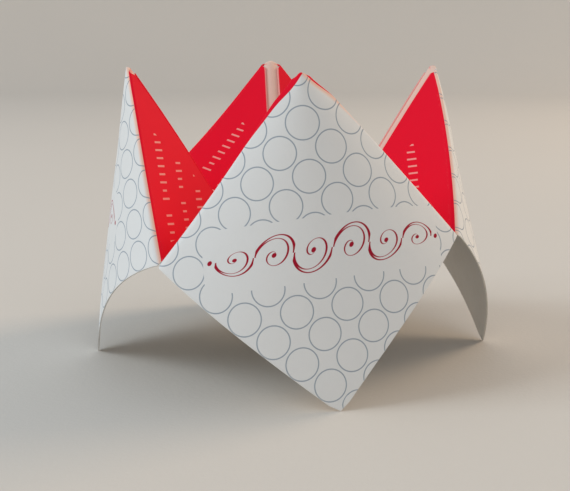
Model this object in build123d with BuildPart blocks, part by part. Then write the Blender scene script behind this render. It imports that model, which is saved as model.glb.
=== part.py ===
from build123d import *
import os
from math import asin, atan2, cos, degrees, radians, sin, sqrt, tan

# Paper fortune teller: one square of card, folded in twice and opened into four finger pockets.
# Folding in the four corners of the sheet, turning it over and folding in the four new corners
# leaves a square of 2 by 2 cells. Pushed open, that square stands as four petals round a hollow.
# One petal, from the pocket outwards to the hollow, holds these layers of the same sheet:
#   the outer flap, a corner of the sheet, rolled off its folds and bent into a cone that opens
#   downwards as a finger pocket
#   the base, with a soft ridge from the petal's tip down to the centre of the sheet
#   the second layer, turned over the base at the fold that runs from the tip to the valley's end
#   the facing layer, seen from the hollow, which joins the second layer at a leg fold beside the
#   ridge and the outer flap at the fold from the tip, and ends in a raw edge at the valley
# The origin is on the surface that the four feet stand on, under the centre of the sheet.

# Driving dimensions in millimetres
sheet_side = 203.2
card_thickness = 0.28
layer_gap = 0.22
ridge_strip = 4.0
ridge_bend_radius = 3.0
slit_gap = 0.5
foot_width = 1.2
axis_clearance = 0.01

# Driving angles in degrees: how far each pair of opposite valleys climbs from level, and the narrow
# cone in which the flap rolls off its fold, as its half angle and as the angle of paper it takes up
wide_valley_angle = 28.3
tight_valley_angle = 23.5
roll_half_angle = 3.0
roll_paper_angle = 4.0

# Sizes that follow from the sheet: the second folds lie a little outside the sheet's quarter
# lines, which is what leaves a strip of the base bare along each ridge
strip_half = ridge_strip / 2
cell = sheet_side / 4 + strip_half / sqrt(2)
diagonal = sqrt(2) * cell
pitch = card_thickness + layer_gap
trim_room = cell / 6

# The flap has a right angle of paper at the tip, shared by two rolls and the wide cone between them
cone_paper_angle = 45 - roll_paper_angle
roll_span = roll_paper_angle / sin(radians(roll_half_angle))


def valley_end(level_dir, climb):
    """Outer end of a valley that leaves the centre of the sheet and is one cell long."""
    return level_dir * (cell * cos(radians(climb))) + Vector(0, 0, cell * sin(radians(climb)))


def turned(direction, axis_dir, angle):
    """A direction turned about an axis through the origin."""
    return direction.rotate(Axis((0, 0, 0), axis_dir), angle)


def off_axis(direction, towards, angle):
    """A direction swung by an angle towards another one."""
    sideways = (towards - direction * towards.dot(direction)).normalized()
    return direction * cos(radians(angle)) + sideways * sin(radians(angle))


def half_flap(middle_dir, inward, half_angle):
    """Cone axis, end of the roll, roll axis and fold, from the middle of a flap to its fold."""
    cone_dir = off_axis(middle_dir, inward, half_angle)
    roll_end = turned(middle_dir, cone_dir, -cone_paper_angle / sin(radians(half_angle)))
    roll_dir = off_axis(roll_end, cone_dir, roll_half_angle)
    return cone_dir, roll_end, roll_dir, turned(roll_end, roll_dir, -roll_span)


def cone_half_angle(spread_cosine):
    """Half angle of the cone that brings the two folds of a flap spread_cosine apart."""
    low = 30
    high = 90
    while high - low > 1e-7:
        middle = (low + high) / 2
        fold = half_flap(Vector(0, 0, 1), Vector(-1, 0, 0), middle)[-1]
        if 1 - 2 * fold.Y**2 > spread_cosine:
            low = middle
        else:
            high = middle
    return middle


def bend_section(centre, radius, start, sweep):
    """Section of a bend: a strip one card thick whose middle follows an arc."""
    with BuildSketch() as section:
        with BuildLine():
            outer = CenterArc(centre, radius + card_thickness / 2, start, sweep)
            inner = CenterArc(centre, radius - card_thickness / 2, start, sweep)
            Line(outer @ 0, inner @ 0)
            Line(outer @ 1, inner @ 1)
        make_face()
    return section.sketch


# Corner points of the front petal, from the centre of the sheet
wide_level = Vector(1, -1, 0).normalized()
tight_level = Vector(-1, -1, 0).normalized()
wide_end = valley_end(wide_level, wide_valley_angle)
tight_end = valley_end(tight_level, tight_valley_angle)
spread_cosine = wide_end.dot(tight_end) / cell**2
tip_side = (wide_end + tight_end) * (1 / (1 + spread_cosine))
tip_rise = cell * sqrt(2 * spread_cosine / (1 + spread_cosine))
tip = tip_side + tight_end.cross(wide_end).normalized() * tip_rise

# Directions in the half petal beside the wide valley
fold_dir = (wide_end - tip).normalized()
far_fold_dir = (tight_end - tip).normalized()
plate = Plane(origin=tip, x_dir=fold_dir, z_dir=fold_dir.cross(wide_end * -1))
ridge_dir = (plate.x_dir + plate.y_dir).normalized()
from_ridge_dir = (plate.x_dir - plate.y_dir).normalized()
petal_mirror = Plane(origin=tip, z_dir=(fold_dir - far_fold_dir))
ridge_turn = 2 * degrees(asin(plate.z_dir.dot(petal_mirror.z_dir)))

# The cone of the outer flap, with its apex at the tip, and the roll between it and the fold
half_angle = cone_half_angle(spread_cosine)
cone_span = cone_paper_angle / sin(radians(half_angle))
level_fold = half_flap(Vector(0, 0, 1), Vector(-1, 0, 0), half_angle)[-1]
mid_tilt = degrees(atan2(-level_fold.X, level_fold.Z))
bisector = (fold_dir + far_fold_dir).normalized()
outward = far_fold_dir.cross(fold_dir).normalized()
flap_mid_dir = off_axis(bisector, outward, mid_tilt)
cone_axis, roll_end_dir, roll_axis, _ = half_flap(flap_mid_dir, outward * -1, half_angle)
cone_start_dir = cone_axis.cross(roll_end_dir).normalized()
flap_start_dir = roll_axis.cross(fold_dir).normalized()

# The flap leaves the outer bend of the fold, so the cone's apex stands a little off the tip
inner_bend = pitch / 2
outer_bend = 3 * pitch / 2
outer_bend_sweep = 90 + degrees(asin(flap_start_dir.dot(plate.y_dir)))
leave_y = outer_bend * flap_start_dir.dot(plate.z_dir)
leave_z = inner_bend - outer_bend * flap_start_dir.dot(plate.y_dir)
leave_offset = plate.y_dir * leave_y + plate.z_dir * leave_z
apex_lead = leave_offset.dot(petal_mirror.z_dir) / fold_dir.dot(petal_mirror.z_dir)
apex = tip + leave_offset - fold_dir * apex_lead
flap_side = cell + apex_lead
roll_corner = apex + roll_end_dir * flap_side
foot = apex + flap_mid_dir * (diagonal + apex_lead)
foot_cut = foot_width / 2
centre_height = -foot.Z - foot_cut

# Planes of the cuts on the half petal
fold_section = Plane(origin=tip, x_dir=plate.y_dir, z_dir=plate.x_dir)
ridge_section = Plane(origin=tip, x_dir=from_ridge_dir, z_dir=ridge_dir)
leg_start = tip + fold_dir * (sqrt(2) * strip_half)
leg_section = Plane(origin=leg_start, x_dir=from_ridge_dir * -1, z_dir=ridge_dir)
fold_cut = Plane(origin=tip, z_dir=plate.y_dir)
mid_edge_dir = turned(flap_mid_dir, cone_axis, -cone_span / 2)
mid_edge = apex + mid_edge_dir * (flap_side / cos(radians(45 - cone_paper_angle / 2)))
raw_edge_normal = (mid_edge - roll_corner).cross(foot - roll_corner)
raw_edge_cut = Plane(origin=roll_corner, z_dir=raw_edge_normal)
blunt_dir = (ridge_dir + flap_mid_dir).normalized()
blunt_depth = strip_half * ridge_dir.dot(blunt_dir)
blunt_cut = Plane(origin=tip + blunt_dir * blunt_depth, z_dir=blunt_dir)


def on_blunt_cut(start, direction):
    """Where a line meets the blunt cut, in that plane's own coordinates."""
    travel = (blunt_cut.origin - start).dot(blunt_dir) / direction.dot(blunt_dir)
    return blunt_cut.to_local_coords(start + direction * travel)


# Base of the half petal: a flat run that ends in half of the ridge's soft bend
bend_run = ridge_bend_radius * tan(radians(ridge_turn / 2))
with BuildPart() as base_half:
    with BuildSketch(ridge_section):
        ridge_centre = (bend_run, ridge_bend_radius)
        add(bend_section(ridge_centre, ridge_bend_radius, -90 - ridge_turn / 2, ridge_turn / 2))
        with Locations((bend_run, 0)):
            Rectangle(cell, card_thickness, align=(Align.MIN, Align.CENTER))
    extrude(amount=diagonal + trim_room)
    split(bisect_by=fold_cut, keep=Keep.TOP)

# Second layer: it hangs on the tight inner bend of the fold and ends at the leg fold
with BuildPart() as second_half:
    with BuildSketch(fold_section):
        add(bend_section((0, inner_bend), inner_bend, 90, 180))
        with Locations((0, pitch)):
            Rectangle(cell + trim_room, card_thickness, align=(Align.MIN, Align.CENTER))
    extrude(amount=cell + trim_room)
    with BuildSketch(leg_section):
        Rectangle(2 * cell, 2 * cell, align=(Align.MAX, Align.CENTER))
    extrude(amount=2 * diagonal, both=True, mode=Mode.INTERSECT)

# Leg fold: the tight bend beside the ridge that joins the second layer to the facing layer
with BuildPart() as leg_fold_half:
    with BuildSketch(leg_section.offset(-trim_room)):
        add(bend_section((0, 3 * inner_bend), inner_bend, -90, 180))
    extrude(amount=diagonal + 2 * trim_room)
    split(bisect_by=fold_cut, keep=Keep.TOP)

# Facing layer, with the outer bend that carries it round the fold to the flap
with BuildPart() as facing_half:
    with BuildSketch(fold_section):
        add(bend_section((0, inner_bend), outer_bend, 90, outer_bend_sweep))
        with Locations((0, 2 * pitch)):
            Rectangle(cell + trim_room, card_thickness, align=(Align.MIN, Align.CENTER))
    extrude(amount=cell + trim_room)
    with BuildSketch(leg_section):
        Rectangle(2 * cell, 2 * cell, align=(Align.MAX, Align.CENTER))
    extrude(amount=2 * diagonal, both=True, mode=Mode.INTERSECT)

# Outer flap: a sector of a cone, cut along the sheet's raw edge that runs down to the foot, and the
# roll that joins it to the fold, which starts where its inner face is clear of the roll's axis
roll_start = (card_thickness / 2 + axis_clearance) / sin(radians(roll_half_angle))
with BuildPart() as flap_half:
    with BuildSketch(Plane(origin=apex, x_dir=roll_end_dir, z_dir=cone_start_dir)):
        with Locations((strip_half / 2, 0)):
            Rectangle(diagonal + trim_room, card_thickness, align=(Align.MIN, Align.CENTER))
    revolve(axis=Axis(apex, cone_axis), revolution_arc=cone_span)
    split(bisect_by=raw_edge_cut, keep=Keep.BOTTOM)
    with BuildSketch(Plane(origin=apex, x_dir=fold_dir, z_dir=flap_start_dir)):
        with Locations((roll_start, 0)):
            Rectangle(flap_side - roll_start, card_thickness, align=(Align.MIN, Align.CENTER))
    revolve(axis=Axis(apex, roll_axis), revolution_arc=roll_span)

# Layers that run on across both valleys, each trimmed where it meets its neighbour's mirror image
with BuildPart() as inner_petal:
    add(base_half)
    add(second_half)
    add(leg_fold_half)
    mirror(about=petal_mirror)
    split(bisect_by=Plane(origin=(0, 0, 0), z_dir=tight_level), keep=Keep.TOP)
    split(bisect_by=Plane(origin=(0, 0, 0), z_dir=wide_level), keep=Keep.TOP)

# Layers that end in a raw edge at each valley, a slit away from their neighbours
with BuildPart() as outer_petal:
    add(facing_half)
    add(flap_half)
    mirror(about=petal_mirror)
    split(bisect_by=Plane(origin=tight_level * (slit_gap / 2), z_dir=tight_level), keep=Keep.TOP)
    split(bisect_by=Plane(origin=wide_level * (slit_gap / 2), z_dir=wide_level), keep=Keep.TOP)

# Blunt tip: the short fold that closes the top of the pocket between the base and the flap
to_bend_centre = from_ridge_dir * bend_run - plate.z_dir * ridge_bend_radius
ridge_start = tip + to_bend_centre * (1 - ridge_bend_radius / to_bend_centre.length)
base_outline = [
    on_blunt_cut(apex, far_fold_dir),
    on_blunt_cut(tip, far_fold_dir),
    on_blunt_cut(ridge_start, ridge_dir),
    on_blunt_cut(tip, fold_dir),
    on_blunt_cut(apex, fold_dir),
]
with BuildPart() as petal:
    add(inner_petal)
    add(outer_petal)
    split(bisect_by=blunt_cut, keep=Keep.TOP)
    with BuildSketch(blunt_cut):
        with BuildLine():
            Polyline(*base_outline)
            ThreePointArc(base_outline[-1], on_blunt_cut(apex, flap_mid_dir), base_outline[0])
        make_face()
    extrude(amount=card_thickness)

# The right petal is the mirror image of the front one across their shared valley, and the back
# and left petals are the first two turned half round
with BuildPart() as folded_sheet:
    with Locations((0, 0, centre_height)):
        add(petal)
    mirror(about=Plane(origin=(0, 0, 0), z_dir=tight_level))
    pair = folded_sheet.part
    with PolarLocations(0, 1, start_angle=180):
        add(pair)
    split(bisect_by=Plane.XY, keep=Keep.TOP)

folded_sheet.part.label = "folded_sheet"
os.makedirs("parts", exist_ok=True)
export_step(folded_sheet.part, "parts/folded_sheet.step")
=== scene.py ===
import math

import bmesh
import bpy
import numpy as np
from mathutils import Matrix


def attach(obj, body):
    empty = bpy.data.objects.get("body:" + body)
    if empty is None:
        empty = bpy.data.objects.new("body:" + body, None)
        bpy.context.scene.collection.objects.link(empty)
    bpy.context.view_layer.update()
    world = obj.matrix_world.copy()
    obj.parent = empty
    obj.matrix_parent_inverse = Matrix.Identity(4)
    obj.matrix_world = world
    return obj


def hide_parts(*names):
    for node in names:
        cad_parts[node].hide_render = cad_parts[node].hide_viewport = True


# Paper fortune teller: one square of printed card, folded in twice and opened into four petals.
# The CAD solid gives the size and the fold lines. Here the same sheet is worked out again as one
# continuous surface with its bends, its thickness, its print and its slightly uneven stand.

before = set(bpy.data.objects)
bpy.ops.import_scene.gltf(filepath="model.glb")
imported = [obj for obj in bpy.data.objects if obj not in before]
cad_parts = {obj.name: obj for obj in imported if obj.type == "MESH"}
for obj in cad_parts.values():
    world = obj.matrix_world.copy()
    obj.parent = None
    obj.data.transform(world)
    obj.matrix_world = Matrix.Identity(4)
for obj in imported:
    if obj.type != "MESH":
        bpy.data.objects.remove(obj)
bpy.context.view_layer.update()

# Sizes of the sheet in millimetres and degrees, as in the CAD source
SHEET_SIDE = 203.2
CARD = 0.28
STRIP_HALF = 2.0
RIDGE_BEND = 3.0
WIDE_VALLEY = 28.3
TIGHT_VALLEY = 23.5
FOOT_WIDTH = 1.2

# The layers lie closer and the folds are rolled tighter than in the CAD solid: how far apart the
# layers and the raw sides are, and the half angle and the paper of the narrow roll beside each fold
PITCH = 0.36
SLIT = 0.42
ROLL_HALF = 2.0
ROLL_PAPER = 2.7
# The half angle of the flap's cone that brings both of its ends onto the folds
CONE_HALF = 50.831434

# Side of the square plates, where the corner squares' folds and the leg folds lie, and a diagonal
CELL = SHEET_SIDE / 4 + STRIP_HALF / math.sqrt(2)
CORNER = SHEET_SIDE / 2 - CELL
LEG = math.sqrt(2) * STRIP_HALF
DIAGONAL = math.sqrt(2) * CELL

# How far the layers stop short of the sharp tip, and how much further they do beside the fold
BLUNT = LEG - 0.15
SHOULDER = 1.25
CLEAR_OF_FLOOR = 0.04

# How far the corners of the folded sheet in the photograph stand from their even places
LEAN = {
    "tip_front": (-1.62, 1.44, -0.05),
    "tip_right": (-2.53, 0.19, -0.10),
    "tip_back": (-1.92, 0.60, -0.05),
    "tip_left": (-0.26, -0.30, -0.20),
    "valley_rf": (-0.90, 0.39, -0.51),
    "valley_lf": (0.10, -0.33, -1.65),
    "valley_rb": (-1.06, 0.12, 0.22),
    "valley_lb": (-0.43, 0.77, 0.27),
    "foot_front": (0.89, 1.40, -0.05),
    "foot_right": (-1.39, -0.25, -0.05),
    "foot_back": (-0.68, -1.34, -0.05),
    "foot_left": (4.23, 1.25, -0.05),
    "centre": (-1.09, 0.64, -0.30),
}

# How far the middles of each petal's lines bow from straight: the folds to the wide and the tight
# valley, the ridge, the raw edges from the wide and the tight valley, and the flap's middle
BOWS = {
    "front": (
        (-0.03, 0.03, 0.46), (0.57, -0.20, -0.62), (0.00, 0.00, 0.00),
        (-0.57, 0.22, 0.63), (0.10, -0.36, -0.57), (0.27, 0.25, 0.17),
    ),
    "right": (
        (1.26, -0.46, -0.89), (-1.34, 0.41, 0.27), (-0.45, 0.15, 0.36),
        (-0.09, -0.29, -0.16), (0.28, 0.31, 0.46), (-1.03, 0.21, -0.25),
    ),
    "back": (
        (0.94, -0.17, -0.82), (-0.34, 0.06, 0.06), (0.00, 0.00, 0.00),
        (-0.58, 0.36, 0.50), (0.66, 0.23, 0.41), (0.08, -0.59, -0.07),
    ),
    "left": (
        (0.71, -0.02, 0.06), (-0.23, 0.08, 0.27), (0.70, 0.01, 0.65),
        (-0.04, 0.29, 0.34), (-0.34, 0.34, 3.10), (0.74, -0.00, -0.03),
    ),
}

# How much of its width each tip keeps where it has been pinched, and how far down that reaches
PINCH = {"front": 0.55, "right": 0.75, "back": 0.95, "left": 0.75}
PINCH_REACH = 10.0

# How far the bare strip along each crest sinks between the red layers beside it, and the share of
# the ridge over which that fades at the sheet's centre
TUCK = {"front": 0.0, "right": -0.2, "back": 0.0, "left": 0.45}
TUCK_FADE = 1 / 6

# Slow ripples of the card: lengths over which each wave turns by one radian, where the waves start,
# and how high they are on the flaps and on the plates
RIPPLE_LENGTHS = (7.1, 9.3)
RIPPLE_STARTS = (0.6, 1.9)
RIPPLE_FLAP = 0.16
RIPPLE_PLATE = 0.22


def unit(vector):
    """The same direction, one long."""
    return vector / np.linalg.norm(vector)


def turned(vector, axis, degrees):
    """A vector turned about an axis: along the axis it stays, across it cosine and sine share it."""
    angle = np.radians(degrees)[..., None]
    along = axis * (vector @ axis)
    across = vector - along
    return along + np.cos(angle) * across + np.sin(angle) * np.cross(axis, across)


def off_axis(direction, towards, degrees):
    """A direction swung by an angle towards another one."""
    sideways = unit(towards - direction * (towards @ direction))
    return direction * math.cos(math.radians(degrees)) + sideways * math.sin(math.radians(degrees))


def valley_end(level, climb):
    """Outer end of a valley one cell long that climbs from the centre of the sheet."""
    climb = math.radians(climb)
    return CELL * (math.cos(climb) * level + np.array([0, 0, math.sin(climb)]))


# Corner points and directions of the front petal, from the centre of the sheet
WIDE_LEVEL = unit(np.array([1.0, -1.0, 0.0]))
TIGHT_LEVEL = unit(np.array([-1.0, -1.0, 0.0]))
wide_end = valley_end(WIDE_LEVEL, WIDE_VALLEY)
tight_end = valley_end(TIGHT_LEVEL, TIGHT_VALLEY)
spread = wide_end @ tight_end / CELL**2
tip = (wide_end + tight_end) / (1 + spread)
tip = tip + unit(np.cross(tight_end, wide_end)) * CELL * math.sqrt(2 * spread / (1 + spread))
fold = unit(wide_end - tip)
far_fold = unit(tight_end - tip)
up_stack = unit(np.cross(fold, -wide_end))
inwards = np.cross(up_stack, fold)
ridge = unit(fold + inwards)
off_ridge = unit(fold - inwards)
mirror_normal = unit(fold - far_fold)
half_ridge_turn = math.asin(up_stack @ mirror_normal)
bend_run = RIDGE_BEND * math.tan(half_ridge_turn)
crest_up = unit(up_stack - mirror_normal * (up_stack @ mirror_normal))

# How far the flap's roll and cone turn about their axes, in degrees
ROLL_SPAN = ROLL_PAPER / math.sin(math.radians(ROLL_HALF))
CONE_PAPER = 45 - ROLL_PAPER
CONE_SPAN = CONE_PAPER / math.sin(math.radians(CONE_HALF))


def half_flap(middle, inward):
    """Cone axis, end of the roll and roll axis, from the middle of a flap."""
    cone_axis = off_axis(middle, inward, CONE_HALF)
    roll_end = turned(middle, cone_axis, np.array(-CONE_SPAN))
    return cone_axis, roll_end, off_axis(roll_end, cone_axis, ROLL_HALF)


# A flap drawn with its middle straight up shows how far the fold tilts from the middle. The real
# flap's middle is tilted by as much, so that its fold meets the plate's
_, level_end, level_roll = half_flap(np.array([0.0, 0.0, 1.0]), np.array([-1.0, 0.0, 0.0]))
level_fold = turned(level_end, level_roll, np.array(-ROLL_SPAN))
mid_tilt = math.degrees(math.atan2(-level_fold[0], level_fold[2]))
outward = unit(np.cross(far_fold, fold))
middle = off_axis(unit(fold + far_fold), outward, mid_tilt)
cone_axis, roll_end, roll_axis = half_flap(middle, -outward)

# The outer bend takes the sheet round the two layers inside it and leaves it where the flap starts
flap_start = unit(np.cross(roll_axis, fold))
OUTER_BEND = 1.5 * PITCH
outer_sweep = 90 + math.degrees(math.asin(flap_start @ inwards))
leave = inwards * (OUTER_BEND * (flap_start @ up_stack))
leave = leave + up_stack * (PITCH / 2 - OUTER_BEND * (flap_start @ inwards))
lead = (leave @ mirror_normal) / (fold @ mirror_normal)
apex = tip + leave - fold * lead
foot = apex + middle * (DIAGONAL + lead)
centre_height = -foot[2] - FOOT_WIDTH / 2

# How many spans each run of the sheet gets, from the ridge round to the middle of the flap
ROWS = 36
CAP_ROWS = 8
SPANS = {
    "ridge": 8, "base": 22, "inner": 6, "second": 10, "leg": 6,
    "facing": 16, "outer": 10, "roll": 7, "cone": 23,
}

# Paper taken up by a bend shifts the flat places beside it, which ease back to the plate's own over
# these distances from the leg fold and from the outer fold
LEG_EASE = 4.0
FOLD_EASE = 8.0

# Share of their spacing that the layers keep at the tip, and how far down it grows to the whole
TIP_PRESS = 0.8
TIP_PRESS_REACH = 9.0
# Near the tip the ridge's bend takes this share of the base, and the layers keep this width
BEND_SHARE = 0.9
LEAST_WIDTH = 0.25

# The cap over a blunt tip: how far its bows' handles reach, the row down the crest that they point
# away from, and how much sooner the sheet crosses the tip beside the fold
CAP_HANDLE = 0.2
CREST_ROW = 6
CROSS_SOONER = 0.75

# Points closer than the first are one point and edges shorter than the second go, in metres. Edges
# that turn by more than the third, in degrees, are hard
WELD = 2e-6
SLIVER = 1e-7
SHARP_FROM = 50


def steps(count):
    """Even steps from 0 to 1, both ends in."""
    return np.linspace(0.0, 1.0, count + 1)


def fading(distance, reach):
    """1 at no distance, falling to 0 at the reach as the square of what is left."""
    return np.clip(1 - distance / reach, 0, 1) ** 2


def to_valley(points, direction, gap):
    """How far each point must slide along a direction to stand a gap away from the valley's plane."""
    return (gap - points @ TIGHT_LEVEL) / (direction @ TIGHT_LEVEL)


def in_petal(x, y, z):
    """A point of the flat stack: x along the fold, y across the plate, z up through the layers."""
    x, y, z = np.broadcast_arrays(x, y, z)
    return tip + x[..., None] * fold + y[..., None] * inwards + z[..., None] * up_stack


def half_petal():
    """Half of a petal beside the wide valley, as one grid of rows (tip to raw edge) and columns.

    Rows s run from the blunt tip, 0, to the valley or the raw edge, 1. Columns follow the sheet from
    the ridge through base, inner bend, second layer, leg fold, facing layer, outer bend and roll to
    the middle of the flap. Gives points, flat sheet places (a towards the wide side, b towards the
    tight side, both from the sheet's centre) and the weights of the corners that the lean moves, with
    that of the crest.
    """
    s = steps(ROWS)[:, None]
    x = BLUNT + SHOULDER + s * (CELL - BLUNT - SHOULDER)
    # the stack is pressed together near the tip
    press = TIP_PRESS + (1 - TIP_PRESS) * np.clip((x - LEG) / TIP_PRESS_REACH, 0, 1)
    pitch = PITCH * press
    # paper in half the leg fold and in the outer bend; flat places ease back to the plate's own
    half_leg = pitch * math.pi / 4 / math.sqrt(2)
    wrap = 1.5 * pitch * math.radians(outer_sweep)
    points, places, weights = [], [], []

    def keep(run, flat, plate=None, flap=None, crest=0.0):
        """Adds one run of the sheet, with weights from its place on the plate or on the flap."""
        points.append(run)
        places.append(np.stack(np.broadcast_arrays(*flat), -1))
        if flap is None:
            px, py = np.broadcast_arrays(*plate)
            parts = [1 - px / CELL, (px - py) / CELL, 0 * px, 0 * px, py / CELL, crest + 0 * px]
        else:
            fa, fb = flap
            parts = [(1 - fa) * (1 - fb), fa * (1 - fb), (1 - fa) * fb, fa * fb, 0 * fa, 0 * fa]
        weights.append(np.stack(parts, -1))

    # base, from the ridge to the fold: its columns fan out from the crest along the tip's blunt edge
    # and straighten towards the valley, and across the ridge it bends as an arc
    along_ridge = (BLUNT + s * (2 * CELL - BLUNT)) / math.sqrt(2)
    across_end = x / math.sqrt(2)
    reach = np.minimum(bend_run, BEND_SHARE * across_end)
    across = np.concatenate([
        reach * steps(SPANS["ridge"]),
        reach + (across_end - reach) * steps(SPANS["base"])[1:],
    ], axis=1)
    run_r = along_ridge + (across / across_end) ** (2 - s) * (across_end - along_ridge)
    phi = half_ridge_turn * np.clip(1 - across / bend_run, 0, 1)
    bent = np.where(across < bend_run, bend_run - RIDGE_BEND * np.sin(phi), across)
    drop = np.where(across < bend_run, RIDGE_BEND * (1 - np.cos(phi)), 0)
    base = tip + run_r[..., None] * ridge + bent[..., None] * off_ridge - drop[..., None] * up_stack
    base = base + (s * to_valley(base[-1:], ridge, 0.0))[..., None] * ridge
    bx, by = (run_r + across) / math.sqrt(2), (run_r - across) / math.sqrt(2)
    crest = fading(across**2, bend_run**2) * np.clip((1 - s) / TUCK_FADE, 0, 1)
    keep(base, (CELL - by, CELL - bx), plate=(bx, by), crest=crest)

    # inner bend round the fold
    turn = np.pi / 2 + np.pi * (1 - steps(SPANS["inner"])[1:])[None, :]
    inner = in_petal(x, pitch / 2 * np.cos(turn), pitch / 2 * (1 + np.sin(turn)))
    inner = inner + (s * to_valley(inner[-1:], fold, 0.0))[..., None] * fold
    keep(inner, (CELL + 0.0 * turn, CELL - x), plate=(x, 0 * turn))

    # second layer, from the fold to the leg fold
    width = np.maximum(x - LEG, LEAST_WIDTH)
    y = width * steps(SPANS["second"])[None, 1:]
    second = in_petal(x, y, pitch)
    second = second + (s * to_valley(second[-1:], fold, 0.0))[..., None] * fold
    near_leg = half_leg * fading(width - y, LEG_EASE)
    keep(second, (CELL + y - near_leg, CELL - x - near_leg), plate=(x, y))

    # leg fold beside the ridge
    part = steps(SPANS["leg"])[None, 1:]
    turn = np.pi * (part - 0.5)
    leg = in_petal(x + 0 * turn, width + 0 * turn, pitch * 1.5 + pitch / 2 * np.sin(turn))
    leg = leg - (pitch / 2 * np.cos(turn))[..., None] * off_ridge
    leg = leg + (s * to_valley(leg[-1:], ridge, SLIT / 2 * part))[..., None] * ridge
    round_leg = half_leg * (2 * part - 1)
    keep(leg, (CELL + width + round_leg, CELL - x + round_leg), plate=(x, width + 0 * turn))

    # facing layer, back to the fold
    y = width * (1 - steps(SPANS["facing"])[None, 1:])
    facing = in_petal(x, y, 2 * pitch)
    slide = s * to_valley(facing[-1:], fold, SLIT / 2)
    facing = facing + slide[..., None] * fold
    near_leg = half_leg * fading(width - y, LEG_EASE)
    near_fold = wrap * fading(y, FOLD_EASE)
    slide = slide * np.clip((width - y) / LEG_EASE, 0, 1)
    keep(facing, (CORNER + x + near_leg, CORNER - y + near_leg - near_fold), plate=(x + slide, y))

    # outer bend round the fold
    part = steps(SPANS["outer"])[None, 1:]
    turn = np.radians(90 + outer_sweep * part)
    outer = in_petal(x, 3 * pitch / 2 * np.cos(turn), pitch / 2 + 3 * pitch / 2 * np.sin(turn))
    slide = s * to_valley(outer[-1:], fold, SLIT / 2)
    outer = outer + slide[..., None] * fold
    keep(outer, (CORNER + x + 0 * turn, CORNER - wrap * (1 - part)), plate=(x + slide, 0 * turn))

    # flap: the roll, then the cone to its middle, as rays from the apex cut off at the raw edge and
    # a slit away from the valley's plane
    rolled = ROLL_PAPER * steps(SPANS["roll"])[1:]
    coned = ROLL_PAPER + CONE_PAPER * steps(SPANS["cone"])[1:]
    rays = np.concatenate([
        turned(fold, roll_axis, ROLL_SPAN / ROLL_PAPER * rolled),
        turned(roll_end, cone_axis, CONE_SPAN / CONE_PAPER * (coned - ROLL_PAPER)),
    ])
    theta = np.radians(np.concatenate([rolled, coned]))[None, :]
    off_middle = 1 - theta / theta.max()
    near = BLUNT / (np.cos(theta) + np.sin(theta)) + SHOULDER * off_middle**2
    clear = (apex @ TIGHT_LEVEL - SLIT / 2) / np.maximum(-(rays @ TIGHT_LEVEL), 1e-6) - lead
    far = np.minimum(CELL / np.cos(theta), clear[None, :])
    rho = near + s * (far - near)
    flap = apex + (rho + lead)[..., None] * rays[None]
    flap = flap - ((1 - press) * off_middle**2)[..., None] * leave
    fa, fb = rho * np.cos(theta), rho * np.sin(theta)
    keep(flap, (CORNER + fa, CORNER + fb), flap=(fa / CELL, fb / CELL))

    return np.concatenate(points, 1), np.concatenate(places, 1), np.concatenate(weights, 1)


def cap_grid(points, places, weights):
    """Cap over the blunt tip: bows from the base's top edge to the flap's, column by column.

    Each bow is a cubic with both handles pointing up out of its own layer.
    """
    count = SPANS["ridge"] + SPANS["base"]
    base_side, flap_side = slice(0, count + 1), slice(-1, -count - 2, -1)
    low, high = points[0, base_side], points[0, flap_side]
    v = steps(CAP_ROWS)[:, None, None]
    reach = CAP_HANDLE * np.linalg.norm(high - low, axis=1)[None, :, None]
    base_up = unit(low[0] - points[CREST_ROW, 0])
    flap_up = high - points[1, flap_side]
    flap_up = flap_up / np.linalg.norm(flap_up, axis=1)[:, None]
    one = low[None] + reach * base_up
    two = high[None] + reach * flap_up[None]
    grid = (1 - v) ** 3 * low + 3 * v * (1 - v) ** 2 * one + 3 * v**2 * (1 - v) * two + v**3 * high
    # beside the fold the sheet crosses the tip at once, so that its red side shows there
    aside = np.linalg.norm(low - low[0], axis=1)
    soon = v ** (1 - CROSS_SOONER * aside / aside[-1])[None, :, None]
    flat = (1 - soon) * places[0, base_side] + soon * places[0, flap_side]
    share = (1 - v) * weights[0, base_side] + v * weights[0, flap_side]
    return grid, flat, share


def quads(rows, columns, start, flip):
    """Faces of a grid of points, turned over if flip is set."""
    corner = start + np.arange(rows - 1)[:, None] * columns + np.arange(columns - 1)
    faces = np.stack([corner, corner + 1, corner + columns + 1, corner + columns], -1).reshape(-1, 4)
    return faces[:, ::-1] if flip else faces


# Where each petal of the sheet goes: how it turns on the plan, the signs of its flat place, and the
# valleys on its wide and on its tight side
PETALS = {
    "front": ([[1, 0], [0, 1]], (1, -1), "valley_rf", "valley_lf"),
    "right": ([[0, -1], [-1, 0]], (1, 1), "valley_rf", "valley_rb"),
    "back": ([[-1, 0], [0, -1]], (-1, 1), "valley_lb", "valley_rb"),
    "left": ([[0, 1], [1, 0]], (-1, -1), "valley_lb", "valley_lf"),
}


def bow_weights(share):
    """How much each mid-line bow moves a point, from its corner weights.

    With the place on the flap as a and b from 0 to 1, a line's bow is 4 t (1 - t) along it and fades
    evenly to the far side. On the plates the same comes from products of two corner weights.
    """
    tip_share, wide, tight, end, centre = np.moveaxis(share[..., :5], -1, 0)
    a, b = wide + end, tight + end
    return np.stack([
        4 * a * (1 - a - centre) * (1 - b),
        4 * b * (1 - b - centre) * (1 - a),
        4 * tip_share * centre,
        4 * b * (1 - b) * a,
        4 * a * (1 - a) * b,
        16 * a * b * (1 - a) * (1 - b),
    ], -1)


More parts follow.
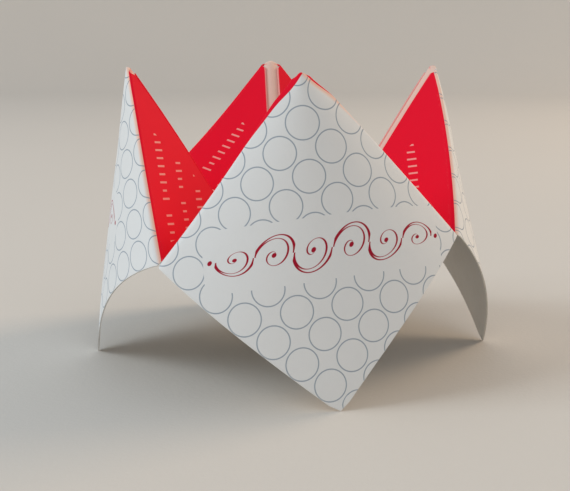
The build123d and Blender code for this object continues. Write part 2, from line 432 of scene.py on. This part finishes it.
def pinched(place, keep):
    """Draws a tip together across its middle: keep of its width at the very tip, all at the reach."""
    down = np.clip(np.linalg.norm(place - tip, axis=-1) / PINCH_REACH, 0, 1)
    share = (1 - keep) * (1 - down * down * (3 - 2 * down))
    return place - (share * ((place - tip) @ mirror_normal))[..., None] * mirror_normal


def ripple(first, second):
    """Two crossing sines."""
    one, two = RIPPLE_LENGTHS
    one_start, two_start = RIPPLE_STARTS
    return np.sin(first / one + one_start) * np.sin(second / two + two_start)


def cockle(flat, share, side):
    """Height of the ripples over the card: none at the folds, ridges and valleys.

    On the flap they are times a (1 - a) b (1 - b), and on the plates times the product of the three
    corner weights, each brought to 1 at its peak. The flap ripples by its place on the sheet. The
    stacked layers ripple together, by their place in the petal. Side is 1 on the half of the sheet
    with the front and right petals, -1 on the other.
    """
    tip_share, wide, tight, end, centre = np.moveaxis(share[..., :5], -1, 0)
    a, b = wide + end, tight + end
    on_flap = RIPPLE_FLAP * 16 * a * b * (1 - a) * (1 - b) * ripple(flat[..., 0], flat[..., 1])
    along, up_from_fold = side * CELL * (1 - tip_share), CELL * (centre + tight)
    on_plate = RIPPLE_PLATE * 27 * tip_share * (wide + tight) * centre * ripple(along, up_from_fold)
    return on_flap - on_plate


def folded_sheet_mesh():
    """All eight half petals and the eight halves of the caps in one mesh, welded where they meet.

    Each is mirrored for the tight side, pinched at the tip, rippled and turned on the plan. Then the
    lean of its corners and the bows of its lines move it, each by its weight.
    """
    half = half_petal()
    cap = cap_grid(*half)
    points, flats, faces = [], [], []
    count = 0
    for petal, (plan, signs, wide, tight) in PETALS.items():
        plan = np.array(plan, float)
        tuck = -TUCK[petal] * crest_up
        tuck[:2] = plan @ tuck[:2]
        corners = ("tip_" + petal, wide, tight, "foot_" + petal, "centre")
        lean = np.array([LEAN[name] for name in corners] + [tuck])
        bows = np.array(BOWS[petal], float)
        for tight_side in (False, True):
            for place, flat, share in (half, cap):
                flip = (np.linalg.det(plan) < 0) ^ tight_side ^ (place is cap[0])
                if tight_side:
                    place = place - 2 * ((place - tip) @ mirror_normal)[..., None] * mirror_normal
                    share = share[..., [0, 2, 1, 3, 4, 5]]
                    flat = flat[..., ::-1]
                flat = flat * np.array(signs)
                place = pinched(place, PINCH[petal])
                place = place + cockle(flat, share, signs[0])[..., None] * outward
                place[..., :2] = place[..., :2] @ plan.T
                place = place + share @ lean + bow_weights(share) @ bows
                place[..., 2] = np.maximum(place[..., 2] + centre_height, CLEAR_OF_FLOOR)
                points.append(place.reshape(-1, 3))
                flats.append(flat.reshape(-1, 2))
                faces.append(quads(*place.shape[:2], count, flip))
                count += place.shape[0] * place.shape[1]
    points = np.concatenate(points) / 1000
    flats = np.concatenate(flats) / SHEET_SIDE + 0.5
    faces = np.concatenate(faces)
    mesh = bpy.data.meshes.new("folded_card")
    mesh.from_pydata(points.tolist(), [], faces.tolist())
    layer = mesh.uv_layers.new(name="sheet")
    layer.data.foreach_set("uv", flats[faces.ravel()].ravel())
    work = bmesh.new()
    work.from_mesh(mesh)
    bmesh.ops.remove_doubles(work, verts=work.verts, dist=WELD)
    bmesh.ops.dissolve_degenerate(work, edges=work.edges, dist=SLIVER)
    work.to_mesh(mesh)
    work.free()
    mesh.shade_smooth()
    return mesh


card = bpy.data.objects.new("folded_card", folded_sheet_mesh())
bpy.context.scene.collection.objects.link(card)


def linear(*levels):
    """A colour of red, green and blue levels from 0 to 255, as the shader's linear values."""
    share = np.array(levels) / 255
    return tuple(np.where(share < 0.04045, share / 12.92, ((share + 0.055) / 1.055) ** 2.4)) + (1.0,)


# Colours of the card, its cut edge, the inks and the floor, and painted glows of light off the red
WHITE_CARD = linear(232, 232, 231)
PLAIN_CARD = linear(229, 227, 223)
CARD_CORE = linear(226, 223, 216)
WHITE_SHADE = linear(120, 110, 105)
PLAIN_SHADE = linear(150, 142, 132)
CORE_SHADE = linear(160, 152, 144)
RED_INK = linear(238, 5, 44)
LINE_INK = linear(128, 144, 160)
CRIMSON_INK = linear(168, 12, 44)
MARK_TINT = linear(252, 190, 178)
# painted glows: warm light reflected off the red, painted onto the white card beside it
PEACH_GLOW = linear(252, 184, 148)
STRIP_GLOW = linear(238, 198, 176)
PINK_GLOW = linear(240, 160, 150)
FLOOR_TINT = linear(212, 206, 198)
FLOOR_SHADE = linear(194, 188, 181)

# Scale, detail and roughness of the clouds of noise, and how much longer the fibres are upwards
FIBRES = (2600, 3, 0.6)
PULP = (420, 2, 0.55)
SLOW_SWELL = (60, 1, 0.5)
WORN_FLECKS = (2.2, 3, 0.7)
FLOOR_TOOTH = (900, 2, 0.6)
FLOOR_CLOUDS = (5, 1, 0.5)
FIBRE_STRETCH = (1.0, 1.0, 0.45)

# Wear: where a crease's top lies from the start of the flap, the noise levels between which flecks
# show on it, and the band along the raw sides
CREASE_AT = 0.55
FLECK_LEVELS = (0.52, 0.68)
SIDE_BAND = 0.7

# The print: circles on a square lattice, a bare label across the square with a scroll in it, and
# rows of small strokes on the red
CIRCLE_STEPS = (7.81, 7.88)
CIRCLE_START = (-0.27, 1.27)
CIRCLE_RADIUS = 3.5
CIRCLE_LINE = 0.13
LABEL_DOWN = (44.4, 63.4)
SCROLL_DOWN = 38.2
SCROLL_CELL = 8.4
# on the front, the right and the other two petals: the label's middle and half length, the scroll's
# middle and how many cells it has
LABEL_MIDDLES = (2.6, -9.8, 7.75)
LABEL_HALVES = (38.9, 28.3, 28.3)
SCROLL_MIDDLES = (2.2, -7.0, 5.6)
SCROLL_CELLS = (6, 4, 4)
SCROLL_SLANT = 0.3
# height in the middle, how much of it the ends lose, turns of each curl
SCROLL_TALL = 1.1
SCROLL_ENDS_LOWER = 0.5
SCROLL_TURNS = 1.5
# the pen's half width on the stem and the curls, what it gains running up or down, and the share
# that it loses towards a curl's eye
STEM_PEN = 0.1
CURL_PEN = 0.07
PEN_SWELL = 0.2
CURL_TAPER = 0.55
# half width of the eyes and of the dots, and how far past the ends the dots lie
DOT_HALF = 0.5
DOT_PAST = 1.2
INK_EDGE = (-0.05, 0.07)
# rows of strokes: their spacing, where they start from the fold, their middle and half length, the
# half length that each millimetre down costs, and how far they shift on the far petals, along the
# fold and off it
ROW_STEP = 6.65
ROW_START = 5.5
ROW_MIDDLE = 32.5
ROW_HALF = 13.5
ROW_TAPER = 0.55
ROW_SHIFT = (-1.7, 2.0)
ROW_COUNT = 3
# strokes: their spacing, their slant, how far each row's are staggered, half their height and what
# chance adds, the half widths inside which they are full and outside which they end, and the share
# of them left out
STROKE_STEP = 2.1
STROKE_SLANT = 0.3
STROKE_STAGGER = 0.37
STROKE_TALL = 0.75
STROKE_TALLER = 0.55
STROKE_SIDES = (0.17, 0.32)
STROKE_GAPS = 0.2
# where the white print ends, in millimetres past the two folds of a corner square: the places of a
# straight end, the slope of an askew one, the start and the least of each, and on the right petal the
# start and the slope
EDGE_A = 0.35
EDGE_B = 0.3
EDGE_SLOPE = -0.06
ASKEW_A = (1.65, -0.35)
ASKEW_B = (0.9, -0.6)
RIGHT_EDGE = (-0.4, 0.024)
# how far the red runs over the leg fold, and how much less it does on the two far petals
RED_OVER = 0.23
RED_SHORT = -0.55
# where the painted glows of light reflected off the red fade, in millimetres: next to the red, beside
# the leg fold, off the crest, and at the strip's end by the leg fold
GLOW_FADE = (0.0, 1.2)
BESIDE_FADE = (0.6, 1.4)
STRIP_FADE = (2.2, 4.5)
STRIP_END = (-0.2, 0.4)
# how strongly each shows
RING_SHARE = 0.8
MARK_SHARE = 0.75
# these three are painted glows of light reflected off the red: next to it, on the strip, beside the leg
# fold
GLOW_SHARE = 0.75
STRIP_SHARE = 0.8
BESIDE_SHARE = 0.9
CREASE_SHARE = 0.06
SIDE_SHARE = 0.25

# Softness of a printed edge, cells counted ahead so that none has a number below zero, and a
# distance that puts something out of the way
SOFT = 0.05
AHEAD = 20
AWAY = 9


class Wiring:
    """Adds nodes to one tree. Every call gives back an output; a value may be a number or an output."""

    def __init__(self, tree):
        self.tree = tree

    def put(self, socket, value):
        """Sets a socket, or links it to an output."""
        if isinstance(value, bpy.types.NodeSocket):
            self.tree.links.new(value, socket)
        else:
            socket.default_value = value

    def sum(self, operation, *values):
        """One step of arithmetic."""
        node = self.tree.nodes.new("ShaderNodeMath")
        node.operation = operation
        for socket, value in zip(node.inputs, values):
            self.put(socket, value)
        return node.outputs[0]

    def total(self, first, *rest):
        """All values added up."""
        for value in rest:
            first = self.sum("ADD", first, value)
        return first

    def product(self, first, *rest):
        """All values multiplied."""
        for value in rest:
            first = self.sum("MULTIPLY", first, value)
        return first

    def less(self, first, second):
        """The first value less the second."""
        return self.sum("SUBTRACT", first, second)

    def size(self, value):
        """The value without its sign."""
        return self.sum("ABSOLUTE", value)

    def rest(self, share):
        """1 less the share."""
        return self.less(1.0, share)

    def length(self, x, y):
        """The root of x squared plus y squared."""
        return self.sum("SQRT", self.total(self.product(x, x), self.product(y, y)))

    def from_middle(self, count, step):
        """How far a place lies from the middle of its cell, when it is counted in cells of one step."""
        return self.product(self.less(self.sum("FRACT", count), 0.5), step)

    def choose(self, flag, off, on):
        """Off where the flag is 0, on where it is 1."""
        return self.total(off, self.product(flag, self.less(on, off)))

    def rise(self, value, low, high):
        """0 below low, 1 above high, and a smooth step between them."""
        node = self.tree.nodes.new("ShaderNodeMapRange")
        node.interpolation_type = "SMOOTHSTEP"
        self.put(node.inputs["Value"], value)
        self.put(node.inputs["From Min"], low)
        self.put(node.inputs["From Max"], high)
        return node.outputs["Result"]

    def inside(self, value, low, high, soft):
        """1 between low and high."""
        above = self.rise(value, low - soft, low + soft)
        return self.product(above, self.rest(self.rise(value, high - soft, high + soft)))

    def blend(self, share, first, second):
        """The first colour, and the second where share is 1."""
        node = self.tree.nodes.new("ShaderNodeMix")
        node.data_type = "RGBA"
        self.put(node.inputs["Factor"], share)
        self.put(node.inputs["A"], first)
        self.put(node.inputs["B"], second)
        return node.outputs["Result"]

    def noise(self, vector, scale, detail, rough):
        """Cloudy noise from 0 to 1."""
        node = self.tree.nodes.new("ShaderNodeTexNoise")
        self.put(node.inputs["Vector"], vector)
        node.inputs["Scale"].default_value = scale
        node.inputs["Detail"].default_value = detail
        node.inputs["Roughness"].default_value = rough
        return node.outputs["Fac"]

    def place(self, x, y):
        """A vector from two values."""
        node = self.tree.nodes.new("ShaderNodeCombineXYZ")
        self.put(node.inputs["X"], x)
        self.put(node.inputs["Y"], y)
        return node.outputs["Vector"]

    def group(self, group, **values):
        """A node group with its values set; gives back its outputs."""
        node = self.tree.nodes.new("ShaderNodeGroup")
        node.node_tree = group
        for name, value in values.items():
            self.put(node.inputs[name], value)
        return node.outputs


def new_group(name, inputs, outputs):
    """An empty node group with named values, and its wiring, inner inputs and inner outputs."""
    tree = bpy.data.node_groups.new(name, "ShaderNodeTree")
    for label, value in inputs.items():
        socket = tree.interface.new_socket(label, in_out="INPUT", socket_type="NodeSocketFloat")
        socket.default_value = value
    for label in outputs:
        tree.interface.new_socket(label, in_out="OUTPUT", socket_type="NodeSocketFloat")
    enter = tree.nodes.new("NodeGroupInput")
    leave = tree.nodes.new("NodeGroupOutput")
    return tree, Wiring(tree), enter.outputs, leave.inputs


def sheet_place_group():
    """Place on the flat sheet in millimetres, from its centre lines and past its folds.

    P and Q run along the sheet's sides. A and B are how far a point of a corner square lies from the
    square's two folds: A grows towards the wide valley and B towards the tight one. Leg is P plus Q
    without their signs, less half a side: it is 0 at the leg folds and grows outwards.
    """
    tree, wire, _, out = new_group("sheet place", {}, ["P", "Q", "A", "B", "Leg"])
    uv = tree.nodes.new("ShaderNodeUVMap")
    uv.uv_map = "sheet"
    apart = tree.nodes.new("ShaderNodeSeparateXYZ")
    wire.put(apart.inputs[0], uv.outputs["UV"])
    sizes = []
    for axis, far, part in (("P", "A", "X"), ("Q", "B", "Y")):
        value = wire.product(wire.less(apart.outputs[part], 0.5), SHEET_SIDE)
        sizes.append(wire.size(value))
        wire.put(out[axis], value)
        wire.put(out[far], wire.less(sizes[-1], CORNER))
    wire.put(out["Leg"], wire.total(*sizes, -SHEET_SIDE / 2))
    return tree


def card_fibre_group():
    """Felt of fine fibres, a mottle of the pulp and a slow swell, from the place in the object."""
    tree, wire, values, out = new_group("card fibre", {"Grain": 1.0}, ["Height", "Mottle"])
    place = tree.nodes.new("ShaderNodeTexCoord").outputs["Object"]
    stretched = tree.nodes.new("ShaderNodeVectorMath")
    stretched.operation = "MULTIPLY"
    wire.put(stretched.inputs[0], place)
    stretched.inputs[1].default_value = FIBRE_STRETCH
    fine = wire.noise(stretched.outputs[0], *FIBRES)
    pulp = wire.noise(place, *PULP)
    slow = wire.noise(place, *SLOW_SWELL)
    felt = wire.total(wire.product(fine, values["Grain"], 0.45), wire.product(pulp, 0.9))
    wire.put(out["Height"], wire.total(felt, wire.product(slow, 1.6)))
    wire.put(out["Mottle"], wire.total(wire.product(pulp, 0.55), wire.product(fine, 0.45)))
    return tree


def fold_wear_group(sheet_place):
    """Where the sheet is rubbed: broken flecks on its creases and a soft band along its raw sides."""
    tree, wire, values, out = new_group("fold wear", {"Width": 0.3}, ["Crease", "Side"])
    flat = wire.group(sheet_place)
    nearest = wire.size(flat["Leg"])
    for axis in ("A", "B"):
        nearest = wire.sum("MINIMUM", nearest, wire.size(wire.total(flat[axis], CREASE_AT)))
    flecks = wire.noise(wire.place(flat["P"], flat["Q"]), *WORN_FLECKS)
    line = wire.rest(wire.rise(nearest, 0.0, values["Width"]))
    wire.put(out["Crease"], wire.product(line, wire.rise(flecks, *FLECK_LEVELS)))
    side = wire.sum("MAXIMUM", wire.size(flat["P"]), wire.size(flat["Q"]))
    wire.put(out["Side"], wire.rise(side, SHEET_SIDE / 2 - SIDE_BAND, SHEET_SIDE / 2))
    return tree


sheet_place = sheet_place_group()
card_fibre = card_fibre_group()
fold_wear = fold_wear_group(sheet_place)


def finish_named(name):
    """A new material, its wiring and its shader."""
    material = bpy.data.materials.new(name)
    material.use_nodes = True
    return material, Wiring(material.node_tree), material.node_tree.nodes["Principled BSDF"]


def raise_bump(wire, shader, height, strength, depth):
    """A bump of a height, so strong and so many metres deep."""
    bump = wire.tree.nodes.new("ShaderNodeBump")
    bump.inputs["Strength"].default_value = strength
    bump.inputs["Distance"].default_value = depth
    wire.put(bump.inputs["Height"], height)
    wire.put(shader.inputs["Normal"], bump.outputs["Normal"])


def feel(wire, shader, felt, rough, depth):
    """Roughness that follows the mottle, and a bump from the fibres."""
    wire.put(shader.inputs["Roughness"], wire.total(rough, wire.product(felt["Mottle"], 0.12)))
    raise_bump(wire, shader, felt["Height"], strength=0.35, depth=depth)


def circle_lines(wire, a, b):
    """Rings on the lattice: a line where the distance from the nearest lattice point is the radius."""
    off = []
    for value, start, step in zip((a, b), CIRCLE_START, CIRCLE_STEPS):
        count = wire.total(wire.product(value, 1 / step), AHEAD + 0.5 - start / step)
        off.append(wire.from_middle(count, step))
    ring = wire.size(wire.less(wire.length(*off), CIRCLE_RADIUS))
    return wire.rest(wire.rise(ring, CIRCLE_LINE * 0.55, CIRCLE_LINE * 1.45))


def scroll_lines(wire, a, b, middle, cells):
    """A running scroll: half circles in turn above and below a line, with a spiral curled in each.

    The stem is a half circle over each cell. The spiral leaves it where it crosses the line and winds
    in: its radius is half a cell times 1 less the share of its turns made so far. The scroll is lower
    towards both ends, ends in a dot, and is thick where the pen runs up or down.
    """
    radius = SCROLL_CELL / 2
    down = wire.total(wire.product(wire.total(a, b), math.sqrt(0.5)), -SCROLL_DOWN)
    along = wire.less(wire.product(wire.less(a, b), math.sqrt(0.5)), middle)
    along = wire.total(along, wire.product(down, SCROLL_SLANT))
    # place in the cell: x along the line, y towards the stem, which is above and below it in turn
    reach = wire.product(cells, radius)
    share = wire.sum("DIVIDE", along, reach)
    height = wire.less(SCROLL_TALL, wire.product(share, share, SCROLL_ENDS_LOWER))
    count = wire.total(wire.product(along, 1 / SCROLL_CELL), AHEAD)
    flip = wire.total(wire.product(wire.sum("MODULO", wire.sum("FLOOR", count), 2), -2), 1)
    x = wire.from_middle(count, SCROLL_CELL)
    y = wire.sum("DIVIDE", wire.product(down, flip, -1), wire.sum("MAXIMUM", height, 0.2))
    r = wire.length(x, y)
    upright = wire.sum("DIVIDE", wire.size(x), wire.total(r, 0.01))
    swell = wire.product(upright, upright, PEN_SWELL)
    # how far a point lies outside the stem, on its own side of the line only
    stem = wire.less(wire.size(wire.less(r, radius)), wire.total(swell, STEM_PEN))
    stem = wire.total(stem, wire.product(wire.sum("LESS_THAN", y, 0), AWAY))
    # how far it lies outside the nearest turn of the curl, and outside the curl's eye
    angle = wire.sum("ARCTAN2", y, wire.product(x, -1))
    turns = wire.sum("FRACT", wire.total(wire.product(angle, 0.5 / math.pi), 1))
    wound = wire.less(wire.total(wire.product(r, -SCROLL_TURNS / radius), SCROLL_TURNS), turns)
    nearest = wire.sum("MAXIMUM", wire.sum("ROUND", wound), 0)
    curl = wire.product(wire.size(wire.less(wound, nearest)), radius / SCROLL_TURNS)
    taper = wire.total(wire.product(r, CURL_TAPER / radius), 1 - CURL_TAPER)
    curl = wire.less(curl, wire.product(wire.total(swell, CURL_PEN), taper))
    eye = wire.total(r, -DOT_HALF)
    drawn = wire.sum("MINIMUM", wire.sum("MINIMUM", stem, curl), eye)
    # nothing past the ends but the dots
    past = wire.less(wire.size(along), reach)
    drawn = wire.total(drawn, wire.product(wire.sum("GREATER_THAN", past, 0), AWAY))
    dot = wire.total(wire.length(wire.total(past, -DOT_PAST), down), -DOT_HALF)
    return wire.rest(wire.rise(wire.sum("MINIMUM", drawn, dot), *INK_EDGE))


def red_strokes(wire, along, down):
    """Three rows of small upright strokes, each row shorter, with gaps left at random.

    Down is how far a point lies past the middle of the first row.
    """
    row = wire.total(wire.product(down, 1 / ROW_STEP), 0.5)
    row_number = wire.sum("FLOOR", row)
    row_off = wire.from_middle(row, ROW_STEP)
    leaning = wire.total(along, wire.product(row_off, STROKE_SLANT))
    count = wire.product(row_number, STROKE_STAGGER)
    count = wire.total(wire.product(leaning, 1 / STROKE_STEP), count)
    stroke_off = wire.from_middle(count, STROKE_STEP)
    chance = wire.tree.nodes.new("ShaderNodeTexWhiteNoise")
    chance.noise_dimensions = "2D"
    wire.put(chance.inputs["Vector"], wire.place(wire.sum("FLOOR", count), row_number))
    chance = chance.outputs["Value"]
    # a second chance from the digits of the first
    second = wire.sum("FRACT", wire.product(chance, 7))
    height = wire.total(wire.product(second, STROKE_TALLER), STROKE_TALL)
    tall = wire.rise(wire.less(height, wire.size(row_off)), -0.08, 0.08)
    thin = wire.rest(wire.rise(wire.size(stroke_off), *STROKE_SIDES))
    kept = wire.sum("GREATER_THAN", chance, STROKE_GAPS)
    rows = wire.inside(down, -ROW_STEP / 2, (ROW_COUNT - 0.5) * ROW_STEP, SOFT)
    half = wire.total(wire.product(down, -ROW_TAPER), ROW_HALF)
    span = wire.rise(wire.less(half, wire.size(along)), -SOFT, SOFT)
    return wire.product(tall, thin, kept, rows, span)


def print_edges(wire, flat, far_side, long_side):
    """How far inside the white print a point lies from its end beside either fold of a corner square.

    The ends are a little askew: on the front both start inside the square and run out over the fold.
    """
    def askew(across, start, least):
        """An end that slopes down from its start as it runs along the other fold."""
        return wire.sum("MAXIMUM", wire.total(wire.product(across, EDGE_SLOPE), start), least)

    a, b = flat["A"], flat["B"]
    edge_a = wire.choose(long_side, EDGE_A, askew(b, *ASKEW_A))
    right_start, right_slope = RIGHT_EDGE
    right_b = wire.total(wire.product(a, right_slope), right_start)
    edge_b = wire.choose(far_side, askew(a, *ASKEW_B), wire.choose(long_side, EDGE_B, right_b))
    return wire.less(a, edge_a), wire.less(b, edge_b)


def printed_face():
    """The printed side: white corner squares, red round them, plain in the middle of the sheet."""
    material, wire, shader = finish_named("printed_face")
    felt = wire.group(card_fibre, Grain=1.0)
    wear = wire.group(fold_wear, Width=0.28)
    flat = wire.group(sheet_place)
    a, b = flat["A"], flat["B"]
    # the long side has the front and right petals, the far side the right and back ones
    long_side = wire.sum("GREATER_THAN", flat["P"], 0)
    far_side = wire.sum("GREATER_THAN", flat["Q"], 0)
    on_front = wire.product(long_side, wire.rest(far_side))

    def by_petal(front, right, others):
        """One of three values, by the petal."""
        return wire.choose(on_front, wire.choose(long_side, others, right), front)

    past_a, past_b = print_edges(wire, flat, far_side, long_side)
    square = wire.rise(wire.sum("MINIMUM", past_a, past_b), -0.06, 0.06)
    off_square = wire.rest(square)
    # the red runs just over the leg fold on two petals and stops short of it on the others
    leg = wire.total(flat["Leg"], RED_OVER, wire.product(far_side, RED_SHORT))
    printed = wire.rise(leg, -0.1, 0.1)
    red = wire.product(printed, off_square)

    # rings all over the square but on the label, and the scroll on the label
    off_label = wire.size(wire.less(wire.less(a, b), by_petal(*LABEL_MIDDLES)))
    label = wire.rise(wire.less(by_petal(*LABEL_HALVES), off_label), -SOFT, SOFT)
    label = wire.product(label, wire.inside(wire.total(a, b), *LABEL_DOWN, SOFT))
    rings = wire.product(circle_lines(wire, a, b), square, wire.rest(label), RING_SHARE)
    scroll = scroll_lines(wire, a, b, by_petal(*SCROLL_MIDDLES), by_petal(*SCROLL_CELLS))
    scroll = wire.product(scroll, square)

    # rows of strokes on the red, shifted once on the back petal and twice on the right one
    shifts = wire.total(far_side, wire.product(far_side, long_side))
    shift_along, shift_off = ROW_SHIFT
    along = wire.total(wire.sum("MAXIMUM", a, b), -ROW_MIDDLE, wire.product(shifts, shift_along))
    off_fold = wire.total(wire.sum("MINIMUM", a, b), ROW_START, wire.product(shifts, shift_off))
    marks = wire.product(red_strokes(wire, along, wire.product(off_fold, -1.0)), red, MARK_SHARE)

    # painted glow of warm light reflected off the red, beside it: into the white, on the strip and past
    # the leg fold
    past_warm = wire.sum("MINIMUM", past_b, wire.total(past_a, wire.product(long_side, AWAY)))
    near_red = wire.rest(wire.rise(past_warm, *GLOW_FADE))
    painted_glow = wire.product(square, printed, near_red, GLOW_SHARE)
    off_crest = wire.size(wire.less(wire.size(flat["P"]), wire.size(flat["Q"])))
    strip = wire.rest(wire.rise(off_crest, *STRIP_FADE))
    strip = wire.product(strip, wire.rest(wire.rise(leg, *STRIP_END)), STRIP_SHARE)
    beside = wire.rest(wire.rise(wire.size(leg), *BESIDE_FADE))
    beside = wire.product(beside, off_square, BESIDE_SHARE)

    # the painted glows of reflected red light go over the white card first
    colour = wire.blend(painted_glow, WHITE_CARD, PEACH_GLOW)
    colour = wire.blend(strip, colour, STRIP_GLOW)
    colour = wire.blend(beside, colour, PINK_GLOW)
    colour = wire.blend(red, colour, RED_INK)
    colour = wire.blend(rings, colour, LINE_INK)
    colour = wire.blend(scroll, colour, CRIMSON_INK)
    colour = wire.blend(marks, colour, MARK_TINT)
    crease, side = wire.product(wear["Crease"], CREASE_SHARE), wire.product(wear["Side"], SIDE_SHARE)
    rubbed = wire.sum("MAXIMUM", crease, side)
    colour = wire.blend(rubbed, colour, CARD_CORE)
    shade = wire.product(wire.less(felt["Mottle"], 0.5), 0.10)
    colour = wire.blend(wire.sum("MAXIMUM", shade, 0.0), colour, WHITE_SHADE)
    wire.put(shader.inputs["Base Color"], colour)
    wire.put(shader.inputs["Specular IOR Level"], wire.total(0.15, wire.product(red, -0.06)))
    feel(wire, shader, felt, rough=0.58, depth=0.00006)
    return material


def plain_back():
    """The unprinted side of the card."""
    material, wire, shader = finish_named("plain_back")
    felt = wire.group(card_fibre, Grain=1.2)
    wear = wire.group(fold_wear, Width=0.35)
    shade = wire.product(wire.less(felt["Mottle"], 0.45), 0.25)
    colour = wire.blend(wire.sum("MAXIMUM", shade, 0.0), PLAIN_CARD, PLAIN_SHADE)
    colour = wire.blend(wire.product(wear["Crease"], 0.25), colour, CARD_CORE)
    wire.put(shader.inputs["Base Color"], colour)
    feel(wire, shader, felt, rough=0.68, depth=0.00008)
    return material


def cut_edge():
    """The cut through the card: open fibres, a little grey from handling."""
    material, wire, shader = finish_named("cut_edge")
    felt = wire.group(card_fibre, Grain=2.0)
    colour = wire.blend(wire.product(felt["Mottle"], 0.35), CARD_CORE, CORE_SHADE)
    wire.put(shader.inputs["Base Color"], colour)
    feel(wire, shader, felt, rough=0.8, depth=0.0001)
    return material


for material in (printed_face(), plain_back(), cut_edge()):
    card.data.materials.append(material)


def give_thickness(sheet):
    """Gives the sheet its card thickness as mesh, with hard edges along the cuts."""
    wall = sheet.modifiers.new("card thickness", "SOLIDIFY")
    wall.thickness = CARD / 1000
    wall.offset = 0
    wall.use_even_offset = False
    wall.material_offset = 1
    wall.material_offset_rim = 2
    thick = bpy.data.meshes.new_from_object(sheet.evaluated_get(bpy.context.evaluated_depsgraph_get()))
    thick.name = "folded_card"
    sheet.modifiers.clear()
    sheet.data = thick
    thick.set_sharp_from_angle(angle=math.radians(SHARP_FROM))


give_thickness(card)

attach(card, "root")
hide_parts("folded_sheet")

# Studio floor: radius of its middle face, of its level part and of its rise, how far it turns up in
# degrees, and its spans outwards and, in degrees, round
SWEEP_MIDDLE = 0.02
SWEEP_FLAT = 1.1
SWEEP_RADIUS = 0.5
SWEEP_TURN = 80
LEVEL_SPANS = 7
RISE_SPANS = 24
ROUND_STEP = 5


def sweep_mesh():
    """A round studio floor: level, then rising as part of a circle, turned about the middle."""
    bend = np.radians(SWEEP_TURN) * steps(RISE_SPANS)
    level = SWEEP_MIDDLE + (SWEEP_FLAT - SWEEP_MIDDLE) * steps(LEVEL_SPANS)[:-1]
    reach = np.concatenate([level, SWEEP_FLAT + SWEEP_RADIUS * np.sin(bend)])
    height = np.concatenate([0 * level, SWEEP_RADIUS * (1 - np.cos(bend))])
    around = np.radians(np.arange(0, 360, ROUND_STEP))
    grid = np.stack(np.broadcast_arrays(
        reach[:, None] * np.cos(around), reach[:, None] * np.sin(around), height[:, None]), -1)
    columns = len(around)
    row = np.arange(len(reach) - 1)[:, None] * columns
    corner = row + np.arange(columns)
    right = row + (np.arange(columns) + 1) % columns
    faces = np.stack([corner, corner + columns, right + columns, right], -1).reshape(-1, 4)
    mesh = bpy.data.meshes.new("floor")
    mesh.from_pydata(grid.reshape(-1, 3).tolist(), [], faces.tolist() + [list(range(columns))])
    mesh.shade_smooth()
    return mesh


def floor_finish():
    """Pale matt studio paper with a faint tooth."""
    material, wire, shader = finish_named("floor")
    place = wire.tree.nodes.new("ShaderNodeTexCoord").outputs["Object"]
    tooth = wire.noise(place, *FLOOR_TOOTH)
    clouds = wire.product(wire.noise(place, *FLOOR_CLOUDS), 0.12)
    wire.put(shader.inputs["Base Color"], wire.blend(clouds, FLOOR_TINT, FLOOR_SHADE))
    wire.put(shader.inputs["Roughness"], wire.total(0.8, wire.product(tooth, 0.1)))
    raise_bump(wire, shader, tooth, strength=0.2, depth=0.0003)
    return material


floor = bpy.data.objects.new("floor", sweep_mesh())
floor.data.materials.append(floor_finish())
bpy.context.scene.collection.objects.link(floor)

world = bpy.data.worlds.new("studio")
world.use_nodes = True
background = world.node_tree.nodes["Background"]
background.inputs["Color"].default_value = (0.8, 0.85, 0.9, 1)
background.inputs["Strength"].default_value = 0.55
bpy.context.scene.world = world

# The camera that took the photograph: its place, its right hand, the way it looks, and its focal
# length in pixels of a picture of that width
EYE = np.array([-46.75, -275.23, 79.85]) / 1000
RIGHT = np.array([0.98678, -0.16198, 0.00603])
FORWARD = np.array([0.16018, 0.96875, -0.18939])
FOCAL_PIXELS = 1141.4
FRAME_WIDTH = 570


def look_from(eye, right, forward):
    """Camera matrix from its place, its right hand and the way it looks."""
    forward = unit(forward)
    right = unit(right - forward * (right @ forward))
    over = np.cross(right, forward)
    matrix = np.eye(4)
    matrix[:3, 0], matrix[:3, 1], matrix[:3, 2], matrix[:3, 3] = right, over, -forward, eye
    return matrix


camera_data = bpy.data.cameras.new("camera")
camera_data.sensor_fit = "HORIZONTAL"
camera_data.lens = camera_data.sensor_width * FOCAL_PIXELS / FRAME_WIDTH
camera_data.clip_start = 0.01
camera = bpy.data.objects.new("camera", camera_data)
camera.matrix_world = Matrix(look_from(EYE, RIGHT, FORWARD).tolist())
bpy.context.scene.collection.objects.link(camera)
bpy.context.scene.camera = camera

# A place low in the middle of the object, which the lamps point at
AIM = np.array([0, 0, 0.03])


def soft_lamp(name, place, size, watts, colour):
    """A square area lamp that points from its place to the object."""
    data = bpy.data.lights.new(name, "AREA")
    data.size = size
    data.energy = watts
    data.color = colour
    lamp = bpy.data.objects.new(name, data)
    place = np.array(place, float)
    forward = unit(AIM - place)
    right = unit(np.cross(forward, [0, 0, 1.0]))
    lamp.matrix_world = Matrix(look_from(place, right, forward).tolist())
    bpy.context.scene.collection.objects.link(lamp)


soft_lamp("key", (-1.25, -0.1, 0.95), size=0.8, watts=10.5, colour=(0.83, 0.93, 1.0))
soft_lamp("warm side", (1.15, 0.38, 0.68), size=0.6, watts=8.5, colour=(1.0, 0.75, 0.5))
soft_lamp("front", (0.25, -1.5, 0.8), size=1.2, watts=2.2, colour=(1, 0.9, 0.82))

bpy.context.scene.view_settings.view_transform = "Standard"
